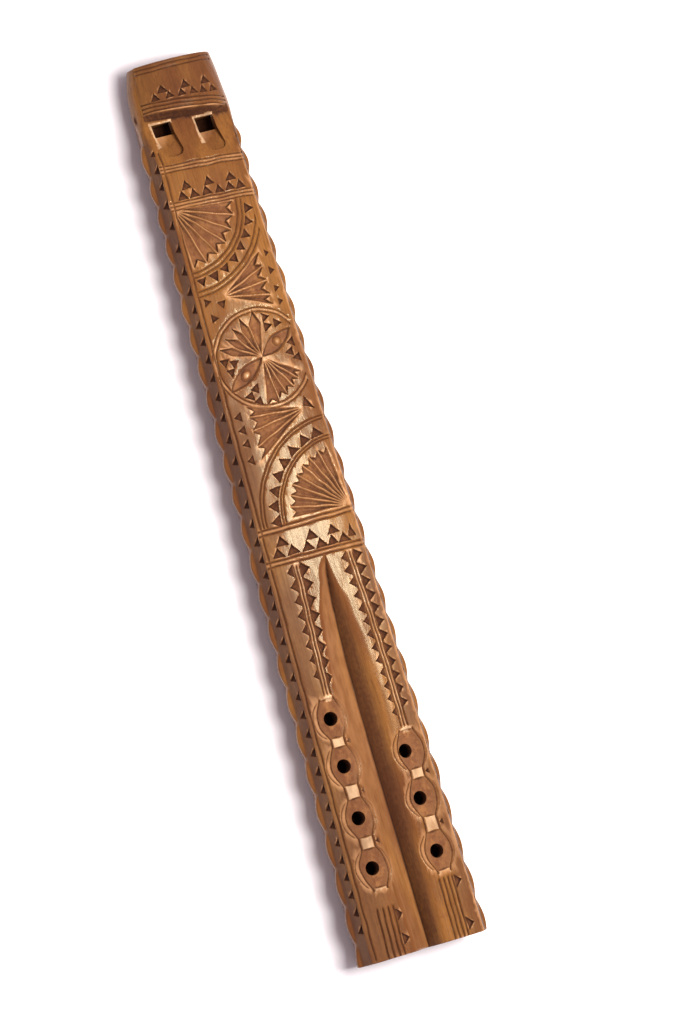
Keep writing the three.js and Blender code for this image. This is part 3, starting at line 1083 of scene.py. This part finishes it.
def add_ramp(mesh, x, width, start, end, low, high):
    """A closed solid over a sloping floor that runs up from low to high, round at its far end."""
    half = width / 2
    tip = half * 0.7
    outline = [(x - half, start), (x + half, start)]
    for i in range(17):
        turn = math.pi * i / 16
        across = math.copysign(abs(math.cos(turn)) ** 0.6, math.cos(turn))
        outline.append((x + RAMP_SKEW + half * across, end - tip + tip * math.sin(turn)))

    def floor_z(s):
        return low + (high - low) * (s - start) / (end - start)

    bottom = [mesh.verts.new(place(px, s, floor_z(s))) for px, s in outline]
    top = [mesh.verts.new(place(px, s, 32)) for px, s in outline]
    mesh.faces.new(bottom)
    mesh.faces.new(top[::-1])
    join_rings(mesh, bottom, top)


def finished_bmesh(name, mesh):
    bmesh.ops.recalc_face_normals(mesh, faces=mesh.faces)
    data = bpy.data.meshes.new(name)
    mesh.to_mesh(data)
    mesh.free()
    return add_object(name, data)


def bore_cutter():
    mesh = bmesh.new()
    for bore, _, _ in PIPES:
        start = (bore_x(bore, -4), -4, BORE_Z)
        end = (bore_x(bore, LENGTH + 4), LENGTH + 4, BORE_Z)
        add_rod(mesh, start, end, BORE_RADIUS)
    return finished_bmesh("bore_cutter", mesh)


def window_cutter():
    """The two windows, down into the bores."""
    mesh = bmesh.new()
    for bore, (start, end, _), _ in PIPES:
        outline = [(start, 32), (start, BORE_Z), (end, BORE_Z), (end, 32)]
        add_prism(mesh, outline, bore_x(bore, end), WINDOW_WIDTH)
    return finished_bmesh("window_cutter", mesh)


def opening_cutter():
    """The ramps below the windows, and the finger holes."""
    mesh = bmesh.new()
    edge_z = BORE_Z + BORE_RADIUS + EDGE_THICKNESS
    for bore, (_, end, ramp_end), _ in PIPES:
        high = facet_z(ramp_end) - RAMP_END_DEPTH
        first = end - 0.6
        low = edge_z - (high - edge_z) * 0.6 / (ramp_end - end)
        add_ramp(mesh, bore_x(bore, end), WINDOW_WIDTH, first, ramp_end, low, high)
    for bore, _, holes in PIPES:
        for s in holes:
            x = bore_x(bore, s)
            add_rod(mesh, (x, s, BORE_Z), (x, s, 26), HOLE_RADIUS * 0.97, HOLE_RADIUS * 1.13, 40)
    return finished_bmesh("opening_cutter", mesh)


def subtract(piece, cutter):
    modify(piece, "BOOLEAN", operation="DIFFERENCE", solver="MANIFOLD", object=cutter)
    bpy.data.objects.remove(cutter)


def thin_out(piece, triangles):
    """Merges the triangles of flat stretches until there are about so many left."""
    piece.data.calc_loop_triangles()
    have = len(piece.data.loop_triangles)
    if have > triangles:
        modify(piece, "DECIMATE", ratio=triangles / have)


def even_normals(piece):
    """Lets wide flat faces set the shading at their corners, so the flats stay flat."""
    modify(piece, "WEIGHTED_NORMAL", mode="FACE_AREA", weight=60, keep_sharp=True)


def attach_values(piece, points, fields):
    """Gives every vertex the value that each field has at the nearest point of the grid."""
    flat = points.reshape(-1, 3) * MM
    tree = kdtree.KDTree(len(flat))
    for i, p in enumerate(flat):
        tree.insert(p, i)
    tree.balance()
    nearest = np.array([tree.find(v.co)[1] for v in piece.data.vertices])
    for name, field in fields.items():
        layer = piece.data.attributes.new(name, "FLOAT", "POINT")
        layer.data.foreach_set("value", field.ravel()[nearest].astype(np.float32))


def shade_smooth(piece, degrees):
    """Smooth shading, broken at edges that turn by more than so many degrees."""
    piece.data.polygons.foreach_set("use_smooth", [True] * len(piece.data.polygons))
    piece.data.set_sharp_from_angle(angle=math.radians(degrees))


def darken_bores(piece):
    """Stains the walls of the bores, where years of breath have darkened them."""
    stain_and_shade = piece.data.attributes["stain_and_shade"].data
    for vertex in piece.data.vertices:
        x, s, z = vertex.co.x / MM, END_Y - vertex.co.y / MM, vertex.co.z / MM
        for bore, _, _ in PIPES:
            if math.hypot(x - bore_x(bore, s), z - BORE_Z) < BORE_RADIUS + 0.05:
                stain_and_shade[vertex.index].value = BORE_STAIN


def body():
    points, fields = carved_grid()
    piece = grid_object("flute_body", points)
    subtract(piece, bore_cutter())
    subtract(piece, window_cutter())
    subtract(piece, opening_cutter())
    thin_out(piece, TRIANGLES)
    attach_values(piece, points, fields)
    darken_bores(piece)
    shade_smooth(piece, SHARP_DEGREES)
    even_normals(piece)
    return piece


def plug(name, bore, window):
    """The block in a pipe's mouth: a round plug with a flat that leaves the windway open."""
    mesh = bmesh.new()
    start, end = END_ROUND * 0.6, window[0] - 0.05
    radius = BORE_RADIUS - 0.12
    flat = BORE_RADIUS - WINDWAY_HEIGHT
    rings = []
    profile = (
        (start, 0.35), (start + 0.3, 0.06), (start + 0.8, 0.0), (end - 0.2, 0.0), (end, 0.15)
    )
    for s, inset in profile:
        ring = []
        r = radius - inset
        low = math.asin(min(1.0, (flat - inset) / r))
        for i in range(49):
            turn = math.pi - low + (math.pi + 2 * low) * i / 48
            x = bore_x(bore, s) + r * math.cos(turn)
            ring.append(mesh.verts.new(place(x, s, BORE_Z + r * math.sin(turn))))
        rings.append(ring)
    for a, b in zip(rings, rings[1:]):
        for i in range(len(a)):
            j = (i + 1) % len(a)
            mesh.faces.new((a[i], a[j], b[j], b[i]))
    mesh.faces.new(rings[0][::-1])
    mesh.faces.new(rings[-1])
    piece = finished_bmesh(name, mesh)
    shade_smooth(piece, PLUG_SHARP_DEGREES)
    return piece


# ---- materials


class Nodes:
    """A short way to write a material's node tree."""

    def __init__(self, name):
        self.material = bpy.data.materials.new(name)
        self.material.use_nodes = True
        self.tree = self.material.node_tree
        self.tree.nodes.clear()
        self.output = self.add("ShaderNodeOutputMaterial")
        self.shader = self.add("ShaderNodeBsdfPrincipled")
        self.tree.links.new(self.shader.outputs[0], self.output.inputs[0])
        self.coordinates = self.add("ShaderNodeTexCoord").outputs["Object"]

    def add(self, kind, inputs=None, **settings):
        """A new node, with its settings made and its inputs linked or filled in."""
        node = self.tree.nodes.new(kind)
        for key, value in settings.items():
            setattr(node, key, value)
        for key, value in (inputs or {}).items():
            self.link(value, node.inputs[key])
        return node

    def link(self, value, socket):
        if hasattr(value, "is_output"):
            self.tree.links.new(value, socket)
        else:
            socket.default_value = value

    def noise(self, across, along, detail=3.0, rough=0.5, warp=0.0, turn=0.0):
        """Noise with so many waves to the millimetre, across the grain and along it."""
        inputs = {
            "Vector": self.coordinates,
            "Scale": (across / MM, along / MM, across / MM),
            "Rotation": (0, 0, turn),
        }
        vector = self.add("ShaderNodeMapping", inputs).outputs[0]
        inputs = {
            "Vector": vector, "Scale": 1.0, "Detail": detail, "Roughness": rough, "Distortion": warp
        }
        return self.add("ShaderNodeTexNoise", inputs).outputs["Fac"]

    def ramp(self, value, low, high, to_low=0.0, to_high=1.0):
        inputs = {
            "Value": value, "From Min": low, "From Max": high, "To Min": to_low, "To Max": to_high
        }
        return self.add("ShaderNodeMapRange", inputs, interpolation_type="SMOOTHSTEP").outputs[0]

    def math(self, operation, a, b=0.0):
        return self.add("ShaderNodeMath", {0: a, 1: b}, operation=operation).outputs[0]

    def times(self, a, b):
        return self.math("MULTIPLY", a, b)

    def blend(self, factor, a, b):
        inputs = {"Factor": factor, 6: a, 7: b}
        return self.add("ShaderNodeMix", inputs, data_type="RGBA", blend_type="MIX").outputs[2]

    def value(self, name):
        return self.add("ShaderNodeAttribute", attribute_name=name).outputs["Fac"]

    def bump(self, height, strength, distance_mm, under=None):
        inputs = {"Height": height, "Strength": strength, "Distance": distance_mm * MM}
        if under is not None:
            inputs["Normal"] = under
        return self.add("ShaderNodeBump", inputs).outputs[0]


MID_BROWN = (0.138, 0.052, 0.018, 1)
OCHRE = (0.205, 0.086, 0.024, 1)
RED_BROWN = (0.105, 0.034, 0.015, 1)
# Pale colours for worn wood, which also serve as painted highlight.
WORN_AND_HIGHLIT_TAN = (0.430, 0.220, 0.105, 1)
WORN_AND_HIGHLIT_PALE = (0.470, 0.310, 0.190, 1)
CUT_BROWN = (0.175, 0.070, 0.030, 1)
GOLDEN_BROWN = (0.270, 0.118, 0.040, 1)
# Dark for stains, and for painted shade on the step, the valley, the walls and in the chips.
STAIN_AND_SHADE_BROWN = (0.048, 0.017, 0.009, 1)
# Painted shade for the creases.
CREASE_SHADE_BROWN = (0.024, 0.009, 0.006, 1)
FIBRE_DARK = (0.055, 0.020, 0.009, 1)
FLOOR_PALE = (0.86, 0.84, 0.88, 1)
FLOOR_PALER = (0.89, 0.87, 0.90, 1)
SPECULAR_LEVEL = 0.27


def wood(name, worn=True):
    """Oiled wood, worn by hands: streaks along the grain, golden patches, cuts darkened by stains
    and painted shade, painted shade in creases, and pale edges that are partly worn and partly
    painted highlight.
    """
    n = Nodes(name)
    patches = n.ramp(n.noise(0.050, 0.016, 2.0), 0.42, 0.62)
    warm = n.ramp(n.noise(0.09, 0.02, 3.0), 0.45, 0.7)
    streaks = n.noise(1.3, 0.045, 4.0, 0.6, 0.3)
    fibres = n.noise(4.5, 0.22, 3.0, 0.6)
    pores = n.ramp(n.noise(3.2, 0.35, 1.0), 0.66, 0.74)

    colour = n.blend(patches, MID_BROWN, OCHRE)
    colour = n.blend(n.times(warm, 0.5), colour, RED_BROWN)
    colour = n.blend(n.ramp(streaks, 0.35, 0.75, 0.0, 0.45), colour, FIBRE_DARK)
    mottle = n.noise(0.55, 0.3, 4.0, 0.65)
    colour = n.blend(n.ramp(mottle, 0.5, 0.75, 0.0, 0.4), colour, RED_BROWN)
    colour = n.blend(n.ramp(fibres, 0.5, 0.8, 0.0, 0.35), colour, FIBRE_DARK)
    colour = n.blend(n.times(pores, 0.5), colour, FIBRE_DARK)
    rough = n.ramp(streaks, 0.3, 0.7, 0.19, 0.25)
    grain = n.math("ADD", n.times(fibres, 0.6), streaks)
    normal = n.bump(grain, 0.2, 0.10)
    strokes = n.noise(1.4, 0.5, 2.0, turn=0.5)
    normal = n.bump(strokes, 0.14, 0.2, normal)
    if worn:
        recess = n.value("recess")
        sharp = n.value("sharp")
        deep = n.ramp(recess, 0.15, 0.85)
        spotty = n.ramp(n.noise(0.9, 0.6, 3.0), 0.25, 0.75, 0.55, 1.0)
        colour = n.blend(n.times(deep, spotty), colour, CUT_BROWN)
        blotches = n.ramp(n.noise(0.42, 0.36, 3.0, 0.6), 0.42, 0.62, 0.0, 0.6)
        colour = n.blend(n.times(blotches, deep), colour, RED_BROWN)
        golden = n.ramp(n.noise(0.30, 0.22, 3.0, 0.6), 0.50, 0.66, 0.0, 0.55)
        colour = n.blend(n.times(golden, deep), colour, GOLDEN_BROWN)
        # Stains, and painted shade on the step, the valley's right side, the walls and in the
        # chips.
        colour = n.blend(n.times(n.value("stain_and_shade"), spotty), colour, STAIN_AND_SHADE_BROWN)
        # Painted shade: concave creases and hollows are darkened.
        crease_shade = n.ramp(n.times(sharp, -1.0), 0.03, 0.20, 0.0, 0.7)
        colour = n.blend(crease_shade, colour, CREASE_SHADE_BROWN)
        # Pale edges, ribs and bridges: partly worn wood, partly painted highlight.
        rub_and_highlight = n.ramp(n.noise(0.3, 0.12, 3.0), 0.3, 0.7, 0.4, 0.95)
        edge = n.times(n.ramp(sharp, 0.12, 0.30), rub_and_highlight)
        wear_and_highlight = n.value("wear_and_highlight")
        edge = n.math("MAXIMUM", edge, n.times(wear_and_highlight, rub_and_highlight))
        rubbed_and_highlit = n.blend(n.ramp(wear_and_highlight, 0.83, 0.9), WORN_AND_HIGHLIT_TAN, WORN_AND_HIGHLIT_PALE)
        colour = n.blend(edge, colour, rubbed_and_highlit)
        rough = n.math("ADD", rough, n.times(deep, 0.28))
        rough = n.math("ADD", rough, n.times(n.value("stain_and_shade"), 0.7))
        stipple = n.times(n.noise(2.4, 1.9, 2.0), deep)
        normal = n.bump(stipple, 0.6, 0.25, normal)
    n.link(colour, n.shader.inputs["Base Color"])
    n.link(rough, n.shader.inputs["Roughness"])
    n.link(normal, n.shader.inputs["Normal"])
    n.shader.inputs["Specular IOR Level"].default_value = SPECULAR_LEVEL
    return n.material


def floor_material():
    n = Nodes("studio_floor")
    tint = n.noise(0.004, 0.004, 2.0)
    colour = n.blend(n.ramp(tint, 0.3, 0.7, 0.0, 0.3), FLOOR_PALE, FLOOR_PALER)
    n.link(colour, n.shader.inputs["Base Color"])
    n.shader.inputs["Roughness"].default_value = 0.85
    return n.material


# ---- camera, light and floor

VIEW_DISTANCE = 2.2
VIEW_LEAN = 20.0
VIEW_PITCH = 2.5
AXIS_TILT = 16.185
FRAME_TALL_MM = 386.7
AIM = (15.2, 183.1, 21.0)

KEY_PLACE = (0.25, -0.07, 1.32)
KEY_SIZE = (0.5, 0.78)
KEY_POWER = 26.0
KEY_COLOUR = (1.0, 0.96, 0.92)
SHEEN_SPOT = (6.0, 184.0, 21.4)
SHEEN_DISTANCE = 0.45
SHEEN_SIZE = (0.14, 0.064)
SHEEN_POWER = 1.6
SHEEN_COLOUR = (1.0, 0.90, 0.60)
SKY_COLOUR = (1.0, 0.86, 0.92, 1)
SKY_STRENGTH = 0.50
FLOOR_DROP = 0.0002


def make_camera():
    lean, pitch = math.radians(VIEW_LEAN), math.radians(VIEW_PITCH)
    back = Vector((-math.sin(lean) * math.cos(pitch), -math.sin(pitch),
                   math.cos(lean) * math.cos(pitch)))
    along = (Vector((0, 1, 0)) - back * back.y).normalized()
    side = along.cross(back)
    tilt = math.radians(AXIS_TILT)
    up = along * math.cos(tilt) + side * math.sin(tilt)
    right = side * math.cos(tilt) - along * math.sin(tilt)
    data = bpy.data.cameras.new("camera")
    data.sensor_width = 36.0
    data.lens = data.sensor_width * VIEW_DISTANCE / (FRAME_TALL_MM * MM)
    data.clip_end = 50.0
    camera = add_object("camera", data)
    turn = Matrix((right, up, back)).transposed().to_4x4()
    camera.matrix_world = Matrix.Translation(place(*AIM) + back * VIEW_DISTANCE) @ turn
    bpy.context.scene.camera = camera


def area_light(name, where, aim, size, power, colour):
    data = bpy.data.lights.new(name, "AREA")
    data.shape = "RECTANGLE"
    data.size, data.size_y = size
    data.energy = power
    data.color = colour
    light = add_object(name, data)
    light.location = where
    light.rotation_euler = (Vector(aim) - Vector(where)).to_track_quat("-Z", "Y").to_euler()
    return light


def make_lights():
    """A broad soft light from the right of the picture, a smaller one that the face mirrors round
    SHEEN_SPOT, and a dim sky."""
    key = area_light("key", KEY_PLACE, (0, 0, 0), KEY_SIZE, KEY_POWER, KEY_COLOUR)
    key.visible_glossy = False
    spot = place(*SHEEN_SPOT)
    seen = (bpy.context.scene.camera.location - spot).normalized()
    where = spot + Vector((-seen.x, -seen.y, seen.z)) * SHEEN_DISTANCE
    area_light("sheen", where, spot, SHEEN_SIZE, SHEEN_POWER, SHEEN_COLOUR)
    world = bpy.data.worlds.new("studio")
    world.use_nodes = True
    world.cycles_visibility.glossy = False
    background = world.node_tree.nodes["Background"]
    background.inputs["Color"].default_value = SKY_COLOUR
    background.inputs["Strength"].default_value = SKY_STRENGTH
    bpy.context.scene.world = world


def make_floor():
    mesh = bmesh.new()
    bmesh.ops.create_grid(mesh, x_segments=2, y_segments=2, size=3.0)
    floor = finished_bmesh("studio_floor", mesh)
    if floor.data.polygons[0].normal.z < 0:
        floor.data.flip_normals()
    floor.location.z = -FLOOR_DROP
    floor.data.materials.append(floor_material())


# ---- the scene


def main():
    bpy.context.scene.view_settings.view_transform = "Standard"
    make_camera()
    make_lights()
    make_floor()

    carved = wood("carved_wood")
    plain = wood("block_wood", worn=False)

    flute = body()
    flute.data.materials.clear()
    flute.data.materials.append(carved)
    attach(flute, "root")
    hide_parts("body")

    for side, (bore, window, _) in zip(("left", "right"), PIPES):
        piece = plug(f"{side}_plug", bore, window)
        piece.data.materials.append(plain)
        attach(piece, "root")
        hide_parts(f"{side}_block")


main()
